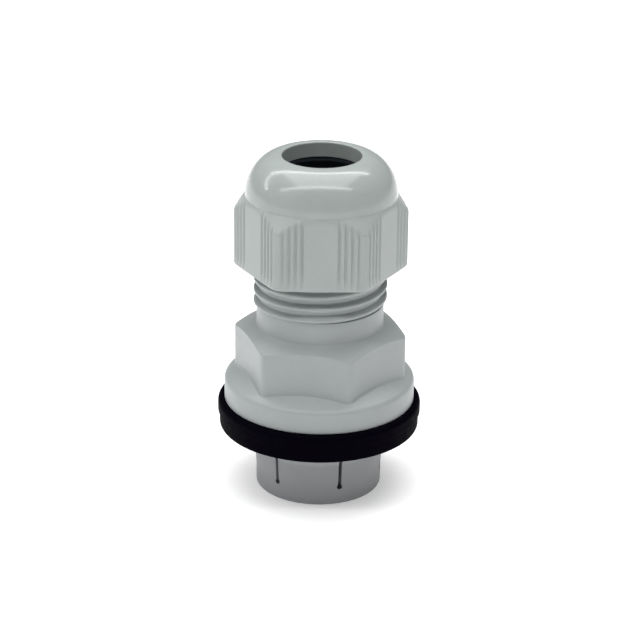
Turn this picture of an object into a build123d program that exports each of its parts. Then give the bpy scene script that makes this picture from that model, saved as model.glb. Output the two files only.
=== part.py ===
from build123d import *
import os
from math import cos, radians, sin

# Snap-in cable gland for a 20 mm entry hole, all sizes in millimetres.
# Origin: centre of the spigot's lower rim. +Z runs up the cable bore, -Y is the front.

os.makedirs("parts", exist_ok=True)

# ---------------------------------------------------------------- driving dimensions

ACROSS_FLATS = 24.0            # both hexagons, one 24 mm spanner
OVERSIZE = 1.0                 # how far a trimming shape reaches past what it trims
SELECT_MARGIN = 0.1            # allowance when edges are chosen by height

# spigot and its locking crown
SPIGOT_R = 9.95                # enters a 20.3 mm hole
SPIGOT_CHAMFER = 0.35
STEM_R = 8.45                  # inner tube that carries the crown
STEM_BOTTOM = 0.6
PASSAGE_R = 6.9                # cable passage through the body
PASSAGE_MOUTH_R = 7.4
PASSAGE_MOUTH_TOP = 1.1
CROWN_RING_TOP = 3.0
FINGER_COUNT = 6
FINGER_GAP = 0.15              # room for the bend at a finger's root
FINGER_INNER_R = 9.15
FINGER_FLARE_R = 10.2          # outside of a finger just below its tooth
FINGER_TOP = 8.05
TOOTH_R = 10.55
TOOTH_BOTTOM = 7.0
TOOTH_LAND = 0.35              # upright face at the tooth's edge
SLIT_WIDTH = 0.55
SLIT_RELIEF_R = 0.45

# flange seal
SEAL_BOTTOM = 10.15
SEAL_LIP_BOTTOM = 12.5
SEAL_R = 15.8
SEAL_LIP_R = 16.07
SEAL_BORE_R = 10.1
SEAL_ROUND = 0.4
SEAL_STEP_ROUND = 0.2

# body
LAND_BOTTOM = 8.5              # full-diameter land above the fingers
FLANGE_BOTTOM = 14.7
FLANGE_TOP = 18.25             # at the rim; the top is a shallow cone
FLANGE_CONE_TOP = 20.5         # where that cone meets the collar's radius
FLANGE_R = 15.03
FLANGE_ROUND = 0.7
FLANGE_CHAMFER = 0.1
BODY_HEX_TOP = 25.8
BODY_HEX_SINK = 0.5            # how far the hexagon's foot is sunk into the flange
BODY_HEX_TURN = -10.0          # body flats lie 10 degrees round from the nut's
BODY_CORNER_R = 13.64
HEX_ROUND = 0.35
COLLAR_BOTTOM = 27.3
COLLAR_TOP = 31.0
COLLAR_R = 9.97
COLLAR_CHAMFER = 0.2
NECK_TOP = 41.0
NECK_BORE_R = 8.35
NECK_BORE_BOTTOM = 36.5

# neck thread, right-handed, one start
PITCH = 1.9
THREAD_ROOT_R = 9.75
THREAD_CREST_R = 10.45
THREAD_START_GAP = 0.05        # the ridge is cut off just above the collar
THREAD_LEAD_IN = 0.9           # height over which the ridge fades at the neck's top
THREAD_FADE = 0.1              # depth below the root at which it has faded
THREAD_START = 180.0           # direction in which the helix starts, at the left
FRONT_CREST_Z = 33.47          # height of a crest at the front
RIDGE_BASE = 1.3
RIDGE_TIP = 0.55
RIDGE_SINK = 0.3               # share of its height that a ridge's foot is sunk
CREST_ROUND = 0.2

# clamping cage
CAGE_SLEEVE_BOTTOM = 37.2
CAGE_INNER_R = 7.8
CAGE_RIM_R = 9.3
CAGE_RIM_TOP = 41.8
LAMELLA_COUNT = 8
LAMELLA_GAP = 0.3              # room for the bend at a lamella's root
LAMELLA_OUTER_R = 9.1
LAMELLA_INNER_R = 8.1
LAMELLA_TOP = 47.5
LAMELLA_BEVEL = 0.35
LAMELLA_INNER_BEVEL = 0.2
LAMELLA_SLOT_ROOT = 1.0
LAMELLA_SLOT_TIP = 1.9

# sealing insert
INSERT_BOTTOM = 36.55
INSERT_BORE_R = 5.85
INSERT_R = 7.65
INSERT_TIP_R = 6.6
INSERT_TAPER_BOTTOM = 41.8
INSERT_TOP = 47.3
INSERT_ROUND = 0.25
INSERT_RIB_HEIGHTS = (38.6, 40.0)
INSERT_RIB_WIDTH = 0.7
INSERT_RIB_PROUD = 0.1

# dome nut
NUT_BOTTOM = 37.0
NUT_CORNER_R = 13.5
NUT_FOOT_BEVEL = 0.25
NUT_CHAMFER_BOTTOM = 46.1
DOME_BASE = 48.6
DOME_BASE_R = 11.8
DOME_TOP = 54.9
DOME_CREST_R = 6.44            # radius of the circle where the dome is highest
ENTRY_R = 6.12
ENTRY_ROUND = 0.29
LIP_BOTTOM = 52.45
NUT_THREAD_R = 10.65
NUT_RIDGE_TIP_R = 10.0
NUT_THREAD_BOTTOM = 37.6
NUT_THREAD_TOP = 42.6
NUT_LEAD_IN = 0.4
NUT_TRAVEL = 2 * PITCH         # two turns, downward
CAVITY_TOP = NECK_TOP + NUT_TRAVEL + 0.4
CONE_START = 47.0
CONE_START_R = 10.43
CONE_END_R = 8.6

# grip ribs on the nut's flats
RIB_BOTTOM = 37.9
GROOVE_FIRST = 2.85            # from the middle of a flat
GROOVE_PITCH = 1.01
GROOVES_PER_SIDE = 4
GROOVE_DEPTH = 0.3
GROOVE_WIDTH = 0.66

# slip ring
RING_GAP = 0.05                # running gap under the entry lip
RING_SIDE_GAP = 0.1
RING_TOP = LIP_BOTTOM - RING_GAP
RING_PLATE = 0.75
RING_BORE_R = 6.35
RING_BOTTOM = 46.9
RING_WALL = 0.85
RING_ROUND = 0.2


def turned(points, mode=Mode.ADD):
    """Turn a closed outline of radius and height once round the bore, in the open part."""
    with BuildSketch(Plane.XZ) as outline:
        Polygon(*points, align=None)
    revolve(outline.sketch, axis=Axis.Z, mode=mode)


def rings(piece, radius):
    """Circular edges of one radius."""
    circles = piece.edges().filter_by(GeomType.CIRCLE)
    return circles.filter_by(lambda e: abs(e.radius - radius) < 1e-3)


def facing(angle, height=0):
    """Upright plane through the bore's axis that looks outward at an angle."""
    return Plane(
        origin=(0, 0, height),
        x_dir=(-sin(radians(angle)), cos(radians(angle)), 0),
        z_dir=(cos(radians(angle)), sin(radians(angle)), 0),
    )


def finish(piece, name):
    """Name a finished piece and write it."""
    piece.part.label = name
    export_step(piece.part, f"parts/{name}.step")


def thread_ridge(root_r, tip_r, turns_up, turns):
    """Helical ridge of one thread, its foot sunk past root_r and its crest rounded.

    It starts at the left-hand side, turns_up pitches above the front crest.
    """
    foot_r = root_r + (root_r - tip_r) * RIDGE_SINK
    flank = (RIDGE_BASE - RIDGE_TIP) / 2 * (1 + RIDGE_SINK)
    start_z = FRONT_CREST_Z + PITCH * (turns_up + (THREAD_START + 90) / 360)
    with BuildPart() as ridge:
        with BuildLine() as path:
            Helix(PITCH, PITCH * turns, root_r, center=(0, 0, start_z))
        with BuildSketch(Plane.XZ) as section:
            Polygon(
                (foot_r, start_z - RIDGE_TIP / 2 - flank),
                (tip_r, start_z - RIDGE_TIP / 2),
                (tip_r, start_z + RIDGE_TIP / 2),
                (foot_r, start_z + RIDGE_TIP / 2 + flank),
                align=None,
            )
            crest = section.vertices().filter_by(lambda v: abs(v.X - tip_r) < 1e-6)
            fillet(crest, CREST_ROUND)
        sweep(section.sketch, path=path.line, is_frenet=True)
    return ridge.part.rotate(Axis.Z, THREAD_START)


# ---------------------------------------------------------------- dome nut

# internal thread, half a pitch from the neck's, cut square at both ends
nut_ridge = thread_ridge(NUT_THREAD_R, NUT_RIDGE_TIP_R, 1.5, 5)
with BuildPart() as nut_thread:
    add(nut_ridge)
    turned(
        [
            (NUT_RIDGE_TIP_R - OVERSIZE, NUT_THREAD_BOTTOM),
            (NUT_THREAD_R + OVERSIZE, NUT_THREAD_BOTTOM),
            (NUT_THREAD_R + OVERSIZE, NUT_THREAD_TOP),
            (NUT_RIDGE_TIP_R - OVERSIZE, NUT_THREAD_TOP),
        ],
        mode=Mode.INTERSECT,
    )

with BuildPart() as dome_nut:
    with BuildSketch(Plane.XY.offset(NUT_BOTTOM)):
        RegularPolygon(ACROSS_FLATS / 2, 6, major_radius=False)
    extrude(amount=DOME_TOP - NUT_BOTTOM)

    # outside: trimmed corners, steep chamfer, then the dome up to its crest
    with BuildSketch(Plane.XZ):
        with BuildLine():
            Polyline(
                (0, DOME_TOP),
                (0, NUT_BOTTOM),
                (NUT_CORNER_R - NUT_FOOT_BEVEL, NUT_BOTTOM),
                (NUT_CORNER_R, NUT_BOTTOM + NUT_FOOT_BEVEL),
                (NUT_CORNER_R, NUT_CHAMFER_BOTTOM),
                (DOME_BASE_R, DOME_BASE),
            )
            EllipticalCenterArc(
                (DOME_CREST_R, DOME_BASE),
                DOME_BASE_R - DOME_CREST_R,
                DOME_TOP - DOME_BASE,
                start_angle=0,
                arc_size=90,
            )
            Line((DOME_CREST_R, DOME_TOP), (0, DOME_TOP))
        make_face()
    revolve(axis=Axis.Z, mode=Mode.INTERSECT)

    # inside: thread room, neck room, cone for the slip ring, then the cable entry
    turned(
        [
            (0, NUT_BOTTOM),
            (NUT_THREAD_R + NUT_LEAD_IN, NUT_BOTTOM),
            (NUT_THREAD_R, NUT_BOTTOM + NUT_LEAD_IN),
            (NUT_THREAD_R, CAVITY_TOP),
            (CONE_START_R, CONE_START),
            (CONE_END_R, LIP_BOTTOM),
            (ENTRY_R, LIP_BOTTOM),
            (ENTRY_R, DOME_TOP),
            (0, DOME_TOP),
        ],
        mode=Mode.SUBTRACT,
    )
    fillet(rings(dome_nut, ENTRY_R).sort_by(Axis.Z)[-1], ENTRY_ROUND)

    # grip: rounded grooves beside a plain middle panel on every flat
    with BuildSketch(Plane.XY.offset(RIB_BOTTOM)):
        with PolarLocations(ACROSS_FLATS / 2, 6, start_angle=30):
            for side in (-1, 1):
                for step in range(GROOVES_PER_SIDE):
                    with Locations((0, side * (GROOVE_FIRST + GROOVE_PITCH * step))):
                        Ellipse(GROOVE_DEPTH, GROOVE_WIDTH / 2)
    extrude(amount=DOME_BASE - RIB_BOTTOM, mode=Mode.SUBTRACT)

    add(nut_thread.part)
finish(dome_nut, "dome_nut")

# ---------------------------------------------------------------- slip ring

cone_slope = (CONE_START_R - CONE_END_R) / (LIP_BOTTOM - CONE_START)
ring_top_r = CONE_END_R - RING_SIDE_GAP + cone_slope * RING_GAP
ring_bottom_r = ring_top_r + cone_slope * (RING_TOP - RING_BOTTOM)
ring_plate_r = ring_top_r - RING_WALL + cone_slope * RING_PLATE

with BuildPart() as slip_ring:
    turned(
        [
            (RING_BORE_R, RING_TOP - RING_PLATE),
            (RING_BORE_R, RING_TOP),
            (ring_top_r, RING_TOP),
            (ring_bottom_r, RING_BOTTOM),
            (ring_bottom_r - RING_WALL, RING_BOTTOM),
            (ring_plate_r, RING_TOP - RING_PLATE),
        ]
    )
    fillet(rings(slip_ring, RING_BORE_R), RING_ROUND)
finish(slip_ring, "slip_ring")

# ---------------------------------------------------------------- sealing insert

with BuildPart() as sealing_insert:
    turned(
        [
            (INSERT_BORE_R, INSERT_BOTTOM),
            (INSERT_R, INSERT_BOTTOM),
            (INSERT_R, INSERT_TAPER_BOTTOM),
            (INSERT_TIP_R, INSERT_TOP),
            (INSERT_BORE_R, INSERT_TOP),
        ]
    )
    fillet(rings(sealing_insert, INSERT_BORE_R), INSERT_ROUND)
    # moulded ribs keep it centred in the cage
    for rib_height in INSERT_RIB_HEIGHTS:
        turned(
            [
                (INSERT_R - INSERT_RIB_WIDTH / 2, rib_height - INSERT_RIB_WIDTH / 2),
                (INSERT_R + INSERT_RIB_PROUD, rib_height - INSERT_RIB_WIDTH / 2),
                (INSERT_R + INSERT_RIB_PROUD, rib_height + INSERT_RIB_WIDTH / 2),
                (INSERT_R - INSERT_RIB_WIDTH / 2, rib_height + INSERT_RIB_WIDTH / 2),
            ]
        )
finish(sealing_insert, "sealing_insert")

# ---------------------------------------------------------------- clamping cage

with BuildPart() as cage_ring:
    turned(
        [
            (CAGE_INNER_R, CAGE_SLEEVE_BOTTOM),
            (NECK_BORE_R, CAGE_SLEEVE_BOTTOM),
            (NECK_BORE_R, NECK_TOP),
            (CAGE_RIM_R, NECK_TOP),
            (CAGE_RIM_R, CAGE_RIM_TOP),
            (CAGE_INNER_R, CAGE_RIM_TOP),
        ]
    )
finish(cage_ring, "cage_ring")

# each lamella stands between two slots that widen towards its tip
lamella_bottom = CAGE_RIM_TOP + LAMELLA_GAP
lamella_step = 360 / LAMELLA_COUNT
half_pitch = LAMELLA_OUTER_R * sin(radians(lamella_step / 2))
half_root = half_pitch - LAMELLA_SLOT_ROOT / 2
half_tip = half_pitch - LAMELLA_SLOT_TIP / 2

for index in range(LAMELLA_COUNT):
    with BuildPart() as lamella:
        turned(
            [
                (LAMELLA_INNER_R, lamella_bottom),
                (LAMELLA_OUTER_R, lamella_bottom),
                (LAMELLA_OUTER_R, LAMELLA_TOP - LAMELLA_BEVEL),
                (LAMELLA_OUTER_R - LAMELLA_BEVEL, LAMELLA_TOP),
                (LAMELLA_INNER_R + LAMELLA_INNER_BEVEL, LAMELLA_TOP),
                (LAMELLA_INNER_R, LAMELLA_TOP - LAMELLA_INNER_BEVEL),
            ]
        )
        with BuildSketch(facing(lamella_step * index)):
            Polygon(
                (-half_root, lamella_bottom),
                (half_root, lamella_bottom),
                (half_tip, LAMELLA_TOP),
                (-half_tip, LAMELLA_TOP),
                align=None,
            )
        extrude(amount=LAMELLA_OUTER_R + OVERSIZE, mode=Mode.INTERSECT)
    finish(lamella, f"cage_lamella_{index + 1}")

# ---------------------------------------------------------------- gland body

# right-handed thread, from the collar to a lead-in at the neck's top
neck_ridge = thread_ridge(THREAD_ROOT_R, THREAD_CREST_R, -3, 8)
with BuildPart() as neck_thread:
    add(neck_ridge)
    turned(
        [
            (THREAD_ROOT_R - OVERSIZE, COLLAR_TOP + THREAD_START_GAP),
            (THREAD_CREST_R + OVERSIZE, COLLAR_TOP + THREAD_START_GAP),
            (THREAD_CREST_R + OVERSIZE, NECK_TOP - THREAD_LEAD_IN),
            (THREAD_ROOT_R - THREAD_FADE, NECK_TOP),
            (THREAD_ROOT_R - OVERSIZE, NECK_TOP),
        ],
        mode=Mode.INTERSECT,
    )

with BuildPart() as gland_body:
    with BuildSketch(Plane.XY.offset(FLANGE_TOP - BODY_HEX_SINK)):
        RegularPolygon(ACROSS_FLATS / 2, 6, major_radius=False, rotation=BODY_HEX_TURN)
    extrude(amount=COLLAR_BOTTOM - FLANGE_TOP + BODY_HEX_SINK)
    # shallow cone over the hexagon, up to the collar
    turned(
        [
            (0, FLANGE_TOP - BODY_HEX_SINK),
            (BODY_CORNER_R, FLANGE_TOP - BODY_HEX_SINK),
            (BODY_CORNER_R, BODY_HEX_TOP),
            (COLLAR_R, COLLAR_BOTTOM),
            (0, COLLAR_BOTTOM),
        ],
        mode=Mode.INTERSECT,
    )
    hex_rim = gland_body.edges().filter_by_position(
        Axis.Z, BODY_HEX_TOP - SELECT_MARGIN, COLLAR_BOTTOM - SELECT_MARGIN
    )
    fillet(hex_rim, HEX_ROUND)

    # flange, whose top rises gently towards the hexagon
    turned(
        [
            (0, FLANGE_BOTTOM),
            (FLANGE_R - FLANGE_CHAMFER, FLANGE_BOTTOM),
            (FLANGE_R, FLANGE_BOTTOM + FLANGE_CHAMFER),
            (FLANGE_R, FLANGE_TOP),
            (COLLAR_R, FLANGE_CONE_TOP),
            (0, FLANGE_CONE_TOP),
        ]
    )
    fillet(rings(gland_body, FLANGE_R).sort_by(Axis.Z)[-1], FLANGE_ROUND)

    # collar, neck, land and stem in one turned outline
    turned(
        [
            (0, STEM_BOTTOM),
            (STEM_R, STEM_BOTTOM),
            (STEM_R, LAND_BOTTOM),
            (SPIGOT_R, LAND_BOTTOM),
            (SPIGOT_R, FLANGE_BOTTOM + OVERSIZE),
            (COLLAR_R, FLANGE_BOTTOM + OVERSIZE),
            (COLLAR_R, COLLAR_TOP - COLLAR_CHAMFER),
            (COLLAR_R - COLLAR_CHAMFER, COLLAR_TOP),
            (THREAD_ROOT_R, COLLAR_TOP),
            (THREAD_ROOT_R, NECK_TOP),
            (0, NECK_TOP),
        ]
    )
    add(neck_thread.part)

    # cable passage, then the wider seat for the cage and the sealing insert
    turned(
        [
            (0, 0),
            (PASSAGE_MOUTH_R, 0),
            (PASSAGE_MOUTH_R, STEM_BOTTOM),
            (PASSAGE_R, PASSAGE_MOUTH_TOP),
            (PASSAGE_R, NECK_BORE_BOTTOM),
            (NECK_BORE_R, NECK_BORE_BOTTOM),
            (NECK_BORE_R, NECK_TOP),
            (0, NECK_TOP),
        ],
        mode=Mode.SUBTRACT,
    )
finish(gland_body, "gland_body")

# ---------------------------------------------------------------- flange seal

with BuildPart() as flange_seal:
    turned(
        [
            (SEAL_BORE_R, SEAL_BOTTOM),
            (SEAL_R, SEAL_BOTTOM),
            (SEAL_R, SEAL_LIP_BOTTOM),
            (SEAL_LIP_R, SEAL_LIP_BOTTOM),
            (SEAL_LIP_R, FLANGE_BOTTOM),
            (SEAL_BORE_R, FLANGE_BOTTOM),
        ]
    )
    fillet(rings(flange_seal, SEAL_R).sort_by(Axis.Z)[0], SEAL_ROUND)
    fillet(rings(flange_seal, SEAL_LIP_R).sort_by(Axis.Z)[-1], SEAL_ROUND)
    fillet(rings(flange_seal, SEAL_LIP_R).sort_by(Axis.Z)[0], SEAL_STEP_ROUND)
finish(flange_seal, "flange_seal")

# ---------------------------------------------------------------- locking crown

finger_step = 360 / FINGER_COUNT
finger_bottom = CROWN_RING_TOP + FINGER_GAP
slit_angles = [BODY_HEX_TURN + finger_step * index for index in range(FINGER_COUNT)]

with BuildPart() as slit_reliefs:
    for slit_angle in slit_angles:
        with BuildSketch(facing(slit_angle, CROWN_RING_TOP)):
            Circle(SLIT_RELIEF_R)
        extrude(amount=SPIGOT_R + OVERSIZE)

with BuildPart() as crown_ring:
    turned(
        [
            (STEM_R, 0),
            (SPIGOT_R - SPIGOT_CHAMFER, 0),
            (SPIGOT_R, SPIGOT_CHAMFER),
            (SPIGOT_R, CROWN_RING_TOP),
            (STEM_R, CROWN_RING_TOP),
        ]
    )
    add(slit_reliefs.part, mode=Mode.SUBTRACT)
finish(crown_ring, "crown_ring")

# each finger fills the wedge from one slit to the next
half_wedge = finger_step / 2
wedge_apex = SLIT_WIDTH / 2 / sin(radians(half_wedge))
wedge_reach = 2 * TOOTH_R
wedge_out = wedge_apex + wedge_reach * cos(radians(half_wedge))
wedge_side = wedge_reach * sin(radians(half_wedge))

for index, slit_angle in enumerate(slit_angles):
    with BuildPart() as finger:
        turned(
            [
                (FINGER_INNER_R, finger_bottom),
                (SPIGOT_R, finger_bottom),
                (FINGER_FLARE_R, TOOTH_BOTTOM),
                (TOOTH_R, FINGER_TOP - TOOTH_LAND),
                (TOOTH_R, FINGER_TOP),
                (FINGER_INNER_R, FINGER_TOP),
            ]
        )
        with BuildSketch(Plane.XY.rotated((0, 0, slit_angle + half_wedge))):
            Polygon((wedge_apex, 0), (wedge_out, -wedge_side), (wedge_out, wedge_side), align=None)
        extrude(amount=FINGER_TOP, mode=Mode.INTERSECT)
        add(slit_reliefs.part, mode=Mode.SUBTRACT)
    finish(finger, f"snap_finger_{index + 1}")
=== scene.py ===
import bmesh
import bpy
import numpy as np
from math import cos, pi, radians, sin
from mathutils import Matrix, Vector


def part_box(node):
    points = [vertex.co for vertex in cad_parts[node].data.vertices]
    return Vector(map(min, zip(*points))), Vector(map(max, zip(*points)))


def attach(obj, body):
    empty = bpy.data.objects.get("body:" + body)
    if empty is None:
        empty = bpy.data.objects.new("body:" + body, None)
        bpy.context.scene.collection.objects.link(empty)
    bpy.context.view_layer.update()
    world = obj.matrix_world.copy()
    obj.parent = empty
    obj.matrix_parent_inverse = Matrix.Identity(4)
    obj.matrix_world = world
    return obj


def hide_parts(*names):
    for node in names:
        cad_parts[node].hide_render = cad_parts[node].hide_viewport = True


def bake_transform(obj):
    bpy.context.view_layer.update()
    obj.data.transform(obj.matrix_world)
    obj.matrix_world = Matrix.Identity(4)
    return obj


# Snap-in cable gland. Shapes are written in millimetres and become metres in make_mesh.
# Angles run from +X towards +Y, heights from the spigot's lower rim, and -Y is the front.

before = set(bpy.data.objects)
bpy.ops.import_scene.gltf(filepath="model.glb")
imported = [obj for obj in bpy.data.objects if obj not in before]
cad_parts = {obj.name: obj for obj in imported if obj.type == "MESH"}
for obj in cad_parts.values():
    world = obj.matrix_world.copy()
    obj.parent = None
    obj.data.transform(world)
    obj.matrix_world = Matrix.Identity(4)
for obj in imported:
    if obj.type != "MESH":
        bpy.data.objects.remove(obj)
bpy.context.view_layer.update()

MM = 0.001


def heights(node):
    """Lowest and highest point of a CAD node, in millimetres."""
    low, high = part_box(node)
    return low.z / MM, high.z / MM


def half_width(node):
    """Half of a CAD node's width along X, in millimetres."""
    low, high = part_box(node)
    return (high.x - low.x) / 2 / MM


# ---------------------------------------------------------------- sizes

APOTHEM = 12.0                                  # both hexagons are 24 mm across flats
NUT_FLAT = -90.0                                # one flat of the nut faces the front
BODY_CORNER = -10.0                             # a corner of the body's hexagon, and a slit
BODY_FLAT = BODY_CORNER + 30.0                  # a flat of the body's hexagon

NUT_LOW, NUT_HIGH = heights("dome_nut")
NUT_CORNER_R = half_width("dome_nut")
NUT_CHAMFER_Z = 46.1
DOME_BASE_R, DOME_BASE_Z = 11.8, 48.6
DOME_CREST_R = 6.44
ENTRY_R = 6.12
LIP_BOTTOM = 52.45
CONE_TOP_R, CONE_LOW_R, CONE_LOW_Z = 8.6, 10.43, 47.0
CAVITY_TOP = 45.2

PITCH = 1.9
FRONT_CREST_Z = 33.47
NECK_ROOT_R, NECK_CREST_R = 9.75, 10.45
NUT_ROOT_R, NUT_CREST_R = 10.65, 10.0
RIDGE_BASE, RIDGE_TIP = 1.3, 0.55

FLANGE_R = 15.03
SEAL_LOW, FLANGE_LOW = heights("flange_seal")
SEAL_LIP_R = half_width("flange_seal")
SEAL_R = 15.8
SEAL_STEP_Z = 12.5
SEAL_BORE_R = 10.1
FLANGE_TOP = 18.25                              # at the rim; the top is a shallow cone
FLANGE_SLOPE = 0.4447                           # rise of that cone for each millimetre inward
BODY_CORNER_R = 13.64
BODY_HEX_TOP = 25.8
COLLAR_LOW, COLLAR_TOP, COLLAR_R = 27.3, 31.0, 9.97
STEM_LOW, NECK_TOP = heights("gland_body")
NECK_BORE_R, NECK_BORE_LOW = 8.35, 36.5
PASSAGE_R = 6.9

SPIGOT_R = half_width("crown_ring")
STEM_R = 8.45
RING_TOP = heights("crown_ring")[1]
LAND_LOW = 8.5
FINGER_TOP = heights("snap_finger_1")[1]
FINGER_INNER_R, FLARE_R, TOOTH_R = 9.15, 10.2, 10.55
TOOTH_LOW = 7.0
SLIT, RELIEF_R = 0.55, 0.45
FINGERS = 6
LAMELLAE = 8


# ---------------------------------------------------------------- mesh tools

def corner_arc(before, corner, after, radius, steps=6):
    """Points that round one corner of an outline."""
    p, a, b = (np.array(q[:2], float) for q in (corner, before, after))
    u, v = a - p, b - p
    length_u, length_v = np.linalg.norm(u), np.linalg.norm(v)
    u, v = u / length_u, v / length_v
    half = np.arccos(np.clip(u @ v, -1, 1)) / 2
    reach = min(radius / np.tan(half), 0.45 * min(length_u, length_v))
    radius = reach * np.tan(half)
    centre = p + (u + v) / np.linalg.norm(u + v) * radius / np.sin(half)
    first, last = p + u * reach - centre, p + v * reach - centre
    turn = np.arctan2(first[0] * last[1] - first[1] * last[0], first @ last)
    points = []
    for t in np.linspace(0, turn, steps + 1):
        c, s = np.cos(t), np.sin(t)
        points.append(centre + (c * first[0] - s * first[1], s * first[0] + c * first[1]))
    return points


def outline(corners, spacing=1.5, support=0.12):
    """Dense closed outline through (radius, height, rounding) corners, in millimetres.

    Straight runs get a point close to each end, so that rounded corners shade cleanly.
    """
    dense = []
    count = len(corners)
    for i, corner in enumerate(corners):
        if len(corner) > 2 and corner[2] > 0:
            dense += corner_arc(corners[i - 1], corner, corners[(i + 1) % count], corner[2])
        else:
            dense.append(np.array(corner[:2], float))
    full = []
    for i, point in enumerate(dense):
        following = dense[(i + 1) % len(dense)]
        run = following - point
        length = np.linalg.norm(run)
        full.append(point)
        if length > 3 * support:
            inner = length - 2 * support
            parts = max(1, int(np.ceil(inner / spacing)))
            for k in range(parts + 1):
                full.append(point + run / length * (support + inner * k / parts))
    return np.array(full)


def make_mesh(name, points, faces, sharp=35.0):
    """Object from points in millimetres, smooth but for edges sharper than the given angle."""
    mesh = bpy.data.meshes.new(name)
    mesh.from_pydata((np.asarray(points) * MM).tolist(), [], faces)
    mesh.validate()
    shell = bmesh.new()
    shell.from_mesh(mesh)
    bmesh.ops.recalc_face_normals(shell, faces=shell.faces)
    shell.to_mesh(mesh)
    shell.free()
    mesh.polygons.foreach_set("use_smooth", [True] * len(mesh.polygons))
    mesh.set_sharp_from_angle(angle=radians(sharp))
    piece = bpy.data.objects.new(name, mesh)
    bpy.context.scene.collection.objects.link(piece)
    return piece


def grid_faces(rows, columns, close_rows=True, close_columns=True):
    """Quads of a grid of rows by columns points, wound so that they face outward."""
    faces = []
    for i in range(rows if close_rows else rows - 1):
        j = (i + 1) % rows
        for k in range(columns if close_columns else columns - 1):
            m = (k + 1) % columns
            faces.append((i * columns + k, i * columns + m, j * columns + m, j * columns + k))
    return faces


def turned(name, profile, angles, shape=None):
    """Closed mesh of a closed outline turned round the bore.

    shape(angle, r, z) returns the moulded radius and height of every point.
    """
    rows, columns = len(profile), len(angles)
    a, r = np.meshgrid(angles, profile[:, 0])
    z = np.repeat(profile[:, 1:2], columns, axis=1)
    if shape:
        r, z = shape(a, r, z)
    points = np.stack([r * np.cos(a), r * np.sin(a), z], axis=-1).reshape(-1, 3)
    return make_mesh(name, points, grid_faces(rows, columns))


def soft_min(a, b, blend):
    """The smaller of two values, rounded over where they meet."""
    near = np.clip(blend - np.abs(a - b), 0, None) / blend
    return np.minimum(a, b) - near * near * blend / 4


def ramp(x, low, high):
    """0 below low, 1 above high, smooth between."""
    t = np.clip((x - low) / (high - low), 0, 1)
    return t * t * (3 - 2 * t)


def across(angle, flat):
    """Angle from the nearest flat's middle, for a hexagon with a flat at the given degrees."""
    return (angle - radians(flat) + pi / 6) % (pi / 3) - pi / 6


def thread(angle, z, crest_shift):
    """Height of the right-handed ridge at each point, from 0 at its root to 1 at its crest."""
    crest = FRONT_CREST_Z + PITCH * ((angle + pi / 2) / (2 * pi) + crest_shift)
    away = np.abs((z - crest + PITCH / 2) % PITCH - PITCH / 2)
    rise = (RIDGE_BASE / 2 - away) / ((RIDGE_BASE - RIDGE_TIP) / 2)
    return soft_min(np.clip(rise, 0, None), 1.0, 0.5)


def even_angles(count):
    """Angles right round the bore."""
    return np.linspace(0, 2 * pi, count, endpoint=False)


def side_angles(flat, spots):
    """The same columns on every side of a hexagon; spots are distances across one side in mm."""
    local = np.arctan(np.asarray(spots) / APOTHEM)
    sides = [radians(flat + 60 * k) + local for k in range(6)]
    return np.sort(np.concatenate(sides) % (2 * pi))


def run(start, end, step):
    """Evenly spaced outline points from one (radius, height) point to another."""
    count = max(2, int(np.ceil(np.hypot(end[0] - start[0], end[1] - start[1]) / step)) + 1)
    return list(zip(np.linspace(start[0], end[0], count), np.linspace(start[1], end[1], count)))


def sector(name, middle, outer, inner, half_angle, columns):
    """Closed mesh of a curved tongue between two side faces.

    outer and inner are matching (radius, height) points from root to tip, and
    half_angle(r, z) is half of the tongue's width, in radians.
    """
    count = len(outer)
    loop = np.vstack([outer, inner[::-1]])
    u, r = np.meshgrid(np.linspace(-1, 1, columns), loop[:, 0])
    z = np.repeat(loop[:, 1:2], columns, axis=1)
    a = radians(middle) + u * half_angle(r, z)
    points = np.stack([r * np.cos(a), r * np.sin(a), z], axis=-1).reshape(-1, 3)
    faces = grid_faces(2 * count, columns, close_columns=False)
    for side in (0, columns - 1):
        for i in range(count - 1):
            k, m = 2 * count - 1 - i, 2 * count - 2 - i
            faces.append(tuple(row * columns + side for row in (i, i + 1, m, k)))
    return make_mesh(name, points, faces)


# ---------------------------------------------------------------- dome nut

GROOVE_FIRST, GROOVE_PITCH, GROOVE_WIDTH, GROOVE_DEPTH = 2.85, 1.01, 0.8, 0.3
GROOVES = 4
GROOVE_LOW = 37.9
NUT_MOUTH_R = 11.0
NUT_THREAD_LOW, NUT_THREAD_HIGH = 37.6, 42.6


def nut_grip(a, r, z):
    """Presses the hexagon, its grooves and the internal thread into the turned nut."""
    local = across(a, NUT_FLAT)
    offset = np.abs(APOTHEM * np.tan(local))
    depth = np.zeros_like(offset)
    for k in range(GROOVES):
        x = (offset - GROOVE_FIRST - GROOVE_PITCH * k) / GROOVE_WIDTH
        depth += np.where(np.abs(x) < 0.5, np.cos(pi * x) ** 2, 0)
    depth *= GROOVE_DEPTH * ramp(z, GROOVE_LOW - 0.15, GROOVE_LOW + 0.15)
    side = APOTHEM / np.cos(local) - depth
    corner = soft_min(NUT_CORNER_R, side, 0.35)
    share = (r - NUT_MOUTH_R) / (NUT_CORNER_R - NUT_MOUTH_R)
    grip = np.where(z < NUT_CHAMFER_Z - 1, NUT_MOUTH_R + share * (corner - NUT_MOUTH_R),
                    soft_min(r, side, 0.35))
    outside = (r > NUT_MOUTH_R) & (z < DOME_BASE_Z + 0.3)
    inside = (np.abs(r - NUT_ROOT_R) < 1e-6) & (z > NUT_THREAD_LOW) & (z < NUT_THREAD_HIGH)
    threaded = NUT_ROOT_R - (NUT_ROOT_R - NUT_CREST_R) * thread(a, z, 0.5)
    return np.where(outside, grip, np.where(inside, threaded, r)), z


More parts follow.
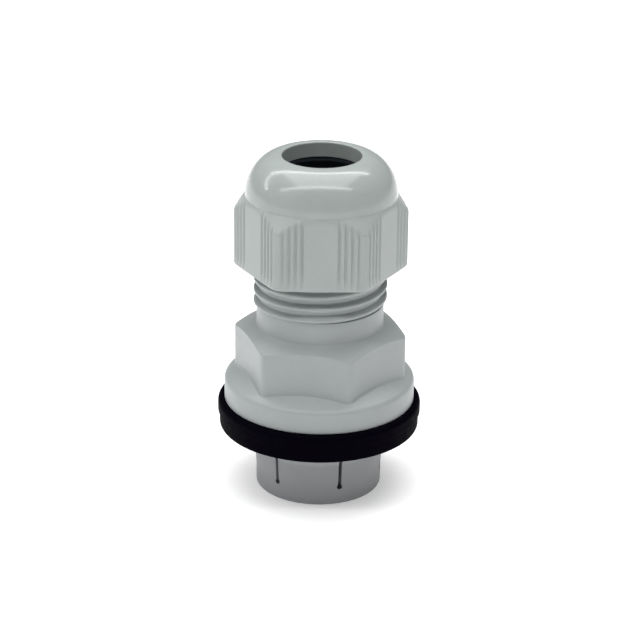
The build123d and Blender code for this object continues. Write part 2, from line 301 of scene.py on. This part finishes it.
def dome_points():
    """Outside of the dome, from just above its base to its crest."""
    return [
        (
            DOME_CREST_R + (DOME_BASE_R - DOME_CREST_R) * cos(t),
            DOME_BASE_Z + (NUT_HIGH - DOME_BASE_Z) * sin(t),
        )
        for t in np.linspace(radians(9), radians(88), 30)
    ]


nut_outline = outline(
    [
        (NUT_MOUTH_R, NUT_LOW, 0.1),
        (NUT_CORNER_R, NUT_LOW, 0.3),
        (NUT_CORNER_R, NUT_CHAMFER_Z, 0.8),
    ]
    + run((NUT_CORNER_R - 0.45, NUT_CHAMFER_Z + 0.66), (DOME_BASE_R + 0.1, DOME_BASE_Z - 0.15), 0.16)
    + [(DOME_BASE_R, DOME_BASE_Z, 0.8)]
    + dome_points()
    + [
        (ENTRY_R, NUT_HIGH, 0.26),
        (ENTRY_R, LIP_BOTTOM, 0.1),
        (CONE_TOP_R, LIP_BOTTOM, 0.2),
        (CONE_LOW_R, CONE_LOW_Z, 0.3),
        (NUT_ROOT_R, CAVITY_TOP, 0.2),
    ]
    + run((NUT_ROOT_R, NUT_THREAD_HIGH + 0.1), (NUT_ROOT_R, NUT_LOW + 0.4), 0.13)
)
nut_spots = np.concatenate(
    [
        np.linspace(-2.35, 2.35, 11),
        np.linspace(2.42, 6.3, 46),
        -np.linspace(2.42, 6.3, 46),
        [6.45, 6.6, 6.75, 6.9, -6.45, -6.6, -6.75, -6.9],
    ]
)
dome_nut = turned("dome_nut_shell", nut_outline, side_angles(NUT_FLAT, nut_spots), nut_grip)


# ---------------------------------------------------------------- gland body

FLANGE_ROUND = 0.8
FOOT_ROUND = 0.35
FOOT_Z = FLANGE_TOP + FLANGE_SLOPE * (FLANGE_R - BODY_CORNER_R)


def body_shape(a, r, z):
    """Presses the hexagon and cuts the neck thread into the turned body."""
    side = APOTHEM / np.cos(across(a, BODY_FLAT))
    inset = BODY_CORNER_R - soft_min(BODY_CORNER_R, side, 0.3)
    ledge, foot = FLANGE_R - FLANGE_ROUND, BODY_CORNER_R + FOOT_ROUND
    share = np.clip((ledge - r) / (ledge - foot), 0, 1)
    low_hex = (z >= FLANGE_TOP - 1e-6) & (z < BODY_HEX_TOP - 1) & (r > COLLAR_R + 0.5)
    high_hex = (z >= BODY_HEX_TOP - 1) & (z < COLLAR_LOW) & (r > COLLAR_R + 0.5)
    hexed = np.where(low_hex, r - inset * share, np.where(high_hex, soft_min(r, side, 0.3), r))
    fade = np.clip((BODY_HEX_TOP - 1 - z) / (BODY_HEX_TOP - 1 - FOOT_Z), 0, 1)
    lift = np.where(low_hex, FLANGE_SLOPE * inset * share * fade, 0)
    neck = (np.abs(r - NECK_ROOT_R) < 1e-6) & (z > COLLAR_TOP + 0.04)
    lead_in = NECK_ROOT_R - 0.1 + 2 * (NECK_TOP - z)
    threaded = NECK_ROOT_R + (NECK_CREST_R - NECK_ROOT_R) * thread(a, z, 0)
    return np.where(neck, np.minimum(threaded, lead_in), hexed), z + lift


body_outline = outline(
    [
        (STEM_R, STEM_LOW, 0.15),
        (STEM_R, LAND_LOW, 0.1),
        (SPIGOT_R, LAND_LOW, 0.15),
        (SPIGOT_R, FLANGE_LOW),
        (FLANGE_R, FLANGE_LOW, 0.12),
        (FLANGE_R, FLANGE_TOP, FLANGE_ROUND),
        (BODY_CORNER_R, FOOT_Z, FOOT_ROUND),
        (BODY_CORNER_R, BODY_HEX_TOP, 0.35),
    ]
    + run((BODY_CORNER_R - 0.45, BODY_HEX_TOP + 0.18), (COLLAR_R + 0.5, COLLAR_LOW - 0.2), 0.14)
    + [(COLLAR_R, COLLAR_LOW, 0.4), (COLLAR_R, COLLAR_TOP, 0.2), (NECK_ROOT_R, COLLAR_TOP)]
    + run((NECK_ROOT_R, COLLAR_TOP + 0.05), (NECK_ROOT_R, NECK_TOP), 0.1)
    + [
        (NECK_BORE_R, NECK_TOP, 0.1),
        (NECK_BORE_R, NECK_BORE_LOW, 0.1),
        (PASSAGE_R, NECK_BORE_LOW, 0.15),
        (PASSAGE_R, STEM_LOW + 0.5),
        (PASSAGE_R + 0.5, STEM_LOW),
    ]
)
corner_spots = np.linspace(6.0, 6.9, 9)
body_spots = np.concatenate([np.linspace(-5.9, 5.9, 29), corner_spots, -corner_spots])
gland_body = turned("gland_body_shell", body_outline, side_angles(BODY_FLAT, body_spots), body_shape)


# ---------------------------------------------------------------- rubber and slip ring

flange_seal = turned(
    "flange_seal_ring",
    outline(
        [
            (SEAL_BORE_R, SEAL_LOW, 0.2),
            (SEAL_R, SEAL_LOW, 0.4),
            (SEAL_R, SEAL_STEP_Z, 0.12),
            (SEAL_LIP_R, SEAL_STEP_Z, 0.2),
            (SEAL_LIP_R, FLANGE_LOW, 0.8),
            (SEAL_BORE_R, FLANGE_LOW, 0.1),
        ]
    ),
    even_angles(256),
)

INSERT_BORE_R, INSERT_R, INSERT_TIP_R = 5.85, 7.65, 6.6
INSERT_LOW, INSERT_TOP = heights("sealing_insert")
INSERT_TAPER_LOW = 41.8
RIB_R = half_width("sealing_insert")


def insert_rib(middle):
    """Outline of one moulded rib round the insert."""
    return [
        (INSERT_R, middle - 0.35),
        (RIB_R, middle - 0.35, 0.08),
        (RIB_R, middle + 0.35, 0.08),
        (INSERT_R, middle + 0.35),
    ]


sealing_insert = turned(
    "sealing_insert_bush",
    outline(
        [(INSERT_BORE_R, INSERT_LOW, 0.25), (INSERT_R, INSERT_LOW, 0.2)]
        + insert_rib(38.6)
        + insert_rib(40.0)
        + [
            (INSERT_R, INSERT_TAPER_LOW, 0.5),
            (INSERT_TIP_R, INSERT_TOP, 0.25),
            (INSERT_BORE_R, INSERT_TOP, 0.25),
        ]
    ),
    even_angles(128),
)

RING_WALL, RING_PLATE, RING_BORE_R = 0.85, 0.75, 6.35
RING_LOW, RING_HIGH = heights("slip_ring")
RING_LOW_R = half_width("slip_ring")
RING_HIGH_R = RING_LOW_R - (CONE_LOW_R - CONE_TOP_R) / (LIP_BOTTOM - CONE_LOW_Z) * (RING_HIGH - RING_LOW)
slip_ring = turned(
    "slip_ring_cup",
    outline(
        [
            (RING_BORE_R, RING_HIGH - RING_PLATE, 0.2),
            (RING_BORE_R, RING_HIGH, 0.2),
            (RING_HIGH_R, RING_HIGH, 0.1),
            (RING_LOW_R, RING_LOW, 0.1),
            (RING_LOW_R - RING_WALL, RING_LOW, 0.1),
            (RING_HIGH_R - RING_WALL + 0.25, RING_HIGH - RING_PLATE, 0.15),
        ]
    ),
    even_angles(160),
)


# ---------------------------------------------------------------- clamping cage

CAGE_INNER_R = 7.8
CAGE_LOW, CAGE_TOP = heights("cage_ring")
CAGE_RIM_R = half_width("cage_ring")
LAMELLA_INNER_R, LAMELLA_OUTER_R = 8.1, 9.1
LAMELLA_LOW, LAMELLA_TOP = heights("cage_lamella_1")
SLOT_ROOT, SLOT_TIP = 1.0, 1.9

cage_ring = turned(
    "cage_ring_sleeve",
    outline(
        [
            (CAGE_INNER_R, CAGE_LOW, 0.1),
            (NECK_BORE_R, CAGE_LOW, 0.15),
            (NECK_BORE_R, NECK_TOP),
            (CAGE_RIM_R, NECK_TOP, 0.1),
            (CAGE_RIM_R, CAGE_TOP, 0.2),
            (CAGE_INNER_R, CAGE_TOP, 0.1),
        ]
    ),
    even_angles(128),
)


def lamella_half(r, z):
    """Half of a lamella's width as an angle: its slots widen towards the tip."""
    slot = SLOT_ROOT + (SLOT_TIP - SLOT_ROOT) * (z - LAMELLA_LOW + 1) / (LAMELLA_TOP - LAMELLA_LOW + 2)
    return np.arcsin((LAMELLA_OUTER_R * sin(pi / LAMELLAE) - slot / 2) / r)


def lamella(index):
    """One lamella with a rounded tip, joined to the cage ring's rim."""
    stem = run((0, CAGE_TOP), (0, LAMELLA_TOP - 0.4), 0.5)
    tip = [
        (0.02, LAMELLA_TOP - 0.3),
        (0.1, LAMELLA_TOP - 0.15),
        (0.22, LAMELLA_TOP - 0.05),
        (0.35, LAMELLA_TOP),
    ]
    inset = np.array(stem + tip)
    outer = np.stack([LAMELLA_OUTER_R - inset[:, 0], inset[:, 1]], axis=1)
    inner = np.stack([LAMELLA_INNER_R + inset[:, 0], inset[:, 1]], axis=1)
    return sector(f"lamella_{index + 1}", 360 / LAMELLAE * index, outer, inner, lamella_half, 15)


lamellae = [lamella(index) for index in range(LAMELLAE)]


# ---------------------------------------------------------------- locking crown

STEP = 360 / FINGERS


def slit_angle(index):
    """Direction of a slit in degrees; the slits line up with the body's corners."""
    return BODY_CORNER + STEP * index


def notched(a, r, z):
    """Sinks the round lower ends of the slits into the ring's top."""
    from_slit = (a - radians(slit_angle(0)) + radians(STEP / 2)) % radians(STEP) - radians(STEP / 2)
    t = r * np.sin(from_slit)
    notch = np.sqrt(np.clip(RELIEF_R ** 2 - t ** 2, 0, None))
    top_share = np.clip((z - RING_TOP + 2 * RELIEF_R) / (2 * RELIEF_R), 0, 1)
    return r, z - notch * top_share


slit_spots = np.concatenate([RELIEF_R * np.sin(np.linspace(-pi / 2, pi / 2, 13)), [-0.6, -0.5, 0.5, 0.6]])
between = np.linspace(radians(4.5), radians(STEP - 4.5), 22)
ring_angles = np.concatenate(
    [
        np.concatenate([np.arcsin(slit_spots / SPIGOT_R), between]) + radians(slit_angle(k))
        for k in range(FINGERS)
    ]
)
crown_ring = turned(
    "crown_ring_rim",
    outline(
        [(STEM_R, 0, 0.1), (SPIGOT_R, 0, 0.35)]
        + run((SPIGOT_R, RING_TOP - 2 * RELIEF_R), (SPIGOT_R, RING_TOP), 0.15)
        + run((STEM_R, RING_TOP), (STEM_R, RING_TOP - 2 * RELIEF_R), 0.15)
    ),
    np.sort(ring_angles % (2 * pi)),
    notched,
)


def finger_half(r, z):
    """Half of a finger's width as an angle, narrower beside the round end of a slit."""
    round_end = np.sqrt(np.clip(RELIEF_R ** 2 - (z - RING_TOP) ** 2, 0, None))
    return radians(STEP / 2) - np.arcsin(np.maximum(SLIT / 2, round_end) / r)


def finger(index):
    """One snap finger: it flares upward and ends in a tooth."""
    root = [RING_TOP + RELIEF_R * (1 - cos(t)) for t in np.linspace(0, pi / 2, 9)]
    levels = root + list(np.linspace(RING_TOP + RELIEF_R + 0.3, TOOTH_LOW, 9))
    flare = (FLARE_R - SPIGOT_R) / (TOOTH_LOW - RING_TOP)
    outer = [(SPIGOT_R + flare * (z - RING_TOP), z) for z in levels]
    inner = [(FINGER_INNER_R, z) for z in levels]
    tooth_top = FINGER_TOP - 0.35
    for t in (0.25, 0.5, 0.75, 1.0):
        z = TOOTH_LOW + (tooth_top - TOOTH_LOW) * t
        outer.append((FLARE_R + (TOOTH_R - FLARE_R) * t, z))
        inner.append((FINGER_INNER_R, z))
    for inset, drop in ((0.0, 0.15), (0.05, 0.05), (0.15, 0.0)):
        outer.append((TOOTH_R - inset, FINGER_TOP - drop))
        inner.append((FINGER_INNER_R + inset, FINGER_TOP - drop))
    middle = slit_angle(index) + STEP / 2
    return sector(f"finger_{index + 1}", middle, np.array(outer), np.array(inner), finger_half, 33)


fingers = [finger(index) for index in range(FINGERS)]


# ---------------------------------------------------------------- materials

POLISH = 0.42                                   # share of the roughness left on the dome
POLISH_EDGE = 0.4                               # half the height over which it sets in, in mm


def plastic(name, colour, low_rough, high_rough, speck=0.03, grain=0.04, gloss_above=None):
    """Moulded plastic or rubber with faint mottling, uneven gloss and a fine surface grain."""
    material = bpy.data.materials.new(name)
    material.use_nodes = True
    nodes, links = material.node_tree.nodes, material.node_tree.links
    shader = nodes["Principled BSDF"]
    place = nodes.new("ShaderNodeTexCoord")

    def noise(scale, detail):
        texture = nodes.new("ShaderNodeTexNoise")
        texture.inputs["Scale"].default_value = scale
        texture.inputs["Detail"].default_value = detail
        links.new(place.outputs["Object"], texture.inputs["Vector"])
        return texture

    cloud, fine, skin = noise(160, 3), noise(900, 4), noise(5200, 2)
    blend = nodes.new("ShaderNodeMath")
    blend.operation = "MULTIPLY_ADD"
    links.new(cloud.outputs["Fac"], blend.inputs[0])
    blend.inputs[1].default_value = 0.6
    fine_share = nodes.new("ShaderNodeMath")
    fine_share.operation = "MULTIPLY"
    fine_share.inputs[1].default_value = 0.4
    links.new(fine.outputs["Fac"], fine_share.inputs[0])
    links.new(fine_share.outputs[0], blend.inputs[2])

    tones = nodes.new("ShaderNodeValToRGB")
    tones.color_ramp.elements[0].position = 0.35
    tones.color_ramp.elements[1].position = 0.65
    tones.color_ramp.elements[0].color = [c * (1 - speck) for c in colour] + [1]
    tones.color_ramp.elements[1].color = [min(1, c * (1 + speck)) for c in colour] + [1]
    links.new(blend.outputs[0], tones.inputs["Fac"])
    links.new(tones.outputs["Color"], shader.inputs["Base Color"])

    rough = nodes.new("ShaderNodeMapRange")
    rough.inputs["From Min"].default_value = 0.3
    rough.inputs["From Max"].default_value = 0.7
    rough.inputs["To Min"].default_value = low_rough
    rough.inputs["To Max"].default_value = high_rough
    links.new(fine.outputs["Fac"], rough.inputs["Value"])
    rough_out = rough.outputs["Result"]
    if gloss_above is not None:
        split = nodes.new("ShaderNodeSeparateXYZ")
        links.new(place.outputs["Object"], split.inputs["Vector"])
        polish = nodes.new("ShaderNodeMapRange")
        polish.inputs["From Min"].default_value = (gloss_above - POLISH_EDGE) * MM
        polish.inputs["From Max"].default_value = (gloss_above + POLISH_EDGE) * MM
        polish.inputs["To Min"].default_value = 1.0
        polish.inputs["To Max"].default_value = POLISH
        links.new(split.outputs["Z"], polish.inputs["Value"])
        product = nodes.new("ShaderNodeMath")
        product.operation = "MULTIPLY"
        links.new(rough_out, product.inputs[0])
        links.new(polish.outputs["Result"], product.inputs[1])
        rough_out = product.outputs[0]
    links.new(rough_out, shader.inputs["Roughness"])

    bump = nodes.new("ShaderNodeBump")
    bump.inputs["Strength"].default_value = grain
    bump.inputs["Distance"].default_value = 0.02 * MM
    links.new(skin.outputs["Fac"], bump.inputs["Height"])
    links.new(bump.outputs["Normal"], shader.inputs["Normal"])
    return material


NUT_GREY = (0.36, 0.395, 0.385)
BODY_GREY = (0.34, 0.365, 0.365)
CROWN_GREY = (0.28, 0.29, 0.3)
INSIDE_BLACK = (0.045, 0.052, 0.066)
SEAL_BLACK = (0.001, 0.0005, 0.0026)
SEAL_SHEEN = 0.015
nut_plastic = plastic("nut_plastic", NUT_GREY, 0.34, 0.46, gloss_above=DOME_BASE_Z)
body_plastic = plastic("body_plastic", BODY_GREY, 0.34, 0.46)
crown_plastic = plastic("crown_plastic", CROWN_GREY, 0.5, 0.62)
cage_plastic = plastic("cage_plastic", BODY_GREY, 0.4, 0.5)
black_plastic = plastic("black_plastic", INSIDE_BLACK, 0.4, 0.5)
insert_rubber = plastic("insert_rubber", INSIDE_BLACK, 0.5, 0.65, speck=0.2, grain=0.3)
seal_rubber = plastic("seal_rubber", SEAL_BLACK, 0.55, 0.7, speck=0.2, grain=0.3)
seal_rubber.node_tree.nodes["Principled BSDF"].inputs["Specular IOR Level"].default_value = SEAL_SHEEN


def fit(piece, material, node, body=None):
    """Gives a piece its material; it stands for its CAD node and rides on its body, if one is given."""
    piece.data.materials.append(material)
    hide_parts(node)
    if body:
        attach(piece, body)


fit(dome_nut, nut_plastic, "dome_nut", "dome_nut")
fit(gland_body, body_plastic, "gland_body", "gland_body")
fit(flange_seal, seal_rubber, "flange_seal", "gland_body")
fit(sealing_insert, insert_rubber, "sealing_insert", "gland_body")
fit(slip_ring, black_plastic, "slip_ring", "slip_ring")
fit(cage_ring, cage_plastic, "cage_ring", "gland_body")
fit(crown_ring, crown_plastic, "crown_ring", "gland_body")


def bend_root(piece):
    """Bakes a tongue's placement into its mesh."""
    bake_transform(piece)


for index, piece in enumerate(lamellae):
    name = f"cage_lamella_{index + 1}"
    fit(piece, cage_plastic, name)
    bend_root(piece)

for index, piece in enumerate(fingers):
    name = f"snap_finger_{index + 1}"
    fit(piece, crown_plastic, name)
    bend_root(piece)


# ---------------------------------------------------------------- stage, light and camera

FLOOR_HALF = 3000.0
FLOOR_DROP = 0.02                               # keeps the floor clear of the crown's rim
FLOOR_GLOW = 0.32


def floor():
    """Flat pale floor that glows a little, so that its shadows stay light."""
    points, faces = [], []
    half, count = FLOOR_HALF, 24
    for i in range(count + 1):
        for k in range(count + 1):
            points.append((-half + 2 * half * k / count, -half + 2 * half * i / count, -FLOOR_DROP))
    faces = grid_faces(count + 1, count + 1, close_rows=False, close_columns=False)
    piece = make_mesh("floor", points, faces)
    material = plastic("floor_paint", (0.93, 0.93, 0.93), 0.7, 0.8, speck=0.005, grain=0.02)
    shader = material.node_tree.nodes["Principled BSDF"]
    shader.inputs["Emission Color"].default_value = (1, 1, 1, 1)
    shader.inputs["Emission Strength"].default_value = FLOOR_GLOW
    piece.data.materials.append(material)


floor()


def lamp(name, start, end, width, radiance):
    """Rectangular light that runs from start to end, in metres, and faces the gland."""
    start, end = Vector(start), Vector(end)
    along = (end - start).normalized()
    middle = (start + end) / 2
    aim = Vector((0, 0, 0.045)) - middle
    back = -(aim - along * aim.dot(along)).normalized()
    light = bpy.data.lights.new(name, "AREA")
    light.shape = "RECTANGLE"
    light.size, light.size_y = (end - start).length, width
    light.energy = radiance * pi * light.size * light.size_y
    piece = bpy.data.objects.new(name, light)
    bpy.context.scene.collection.objects.link(piece)
    turn = Matrix((along, back.cross(along), back)).transposed().to_4x4()
    piece.matrix_world = Matrix.Translation(middle) @ turn


# a broad overhead box between two tubes, whose reflections are the two lines on the dome
TUBE = 0.08                                     # width of a tube, in metres
TUBE_RADIANCE = 7.5
lamp("top_box", (-0.35, 0.04, 0.62), (0.35, 0.04, 0.62), 0.58, 2.6)
lamp("rear_tube", (-0.42, 0.35, 0.6), (0.49, 0.35, 0.6), TUBE, TUBE_RADIANCE)
lamp("front_tube", (-0.45, -0.275, 0.6), (0.51, -0.275, 0.6), TUBE, TUBE_RADIANCE)
lamp("front_tube_end", (-0.9, -0.27, 0.6), (-0.45, -0.275, 0.6), TUBE, 6.0)
lamp("corner_tube", (-0.62, 0.4, 0.6), (-0.42, 0.37, 0.6), TUBE, TUBE_RADIANCE)
lamp("left_tube", (-1.0, 0.62, 0.9), (-1.0, 0.3, 0.49), TUBE, 8.0)
lamp("left_tube_end", (-1.0, 0.3, 0.49), (-1.0, 0.1, 0.335), TUBE, 9.0)
lamp("fill_box", (-0.75, -0.55, 0.35), (-0.75, -0.1, 0.35), 0.5, 0.3)

SKY = 0.1
world = bpy.data.worlds.new("studio")
world.use_nodes = True
world.node_tree.nodes["Background"].inputs["Color"].default_value = (1, 1, 1, 1)
world.node_tree.nodes["Background"].inputs["Strength"].default_value = SKY
bpy.context.scene.world = world

CAMERA_AT = (0.0, -0.35578, 0.17606)
CAMERA_DOWN, CAMERA_ROLL = 22.6623, 0.6971
camera_data = bpy.data.cameras.new("camera")
camera_data.sensor_width = 36.0
camera_data.lens = 138.04
camera_data.clip_start, camera_data.clip_end = 0.01, 20
camera = bpy.data.objects.new("camera", camera_data)
bpy.context.scene.collection.objects.link(camera)
camera.matrix_world = (
    Matrix.Translation(CAMERA_AT)
    @ Matrix.Rotation(radians(90 - CAMERA_DOWN), 4, "X")
    @ Matrix.Rotation(radians(CAMERA_ROLL), 4, "Z")
)
bpy.context.scene.camera = camera
bpy.context.scene.view_settings.view_transform = "Standard"
bpy.context.scene.view_settings.look = "None"
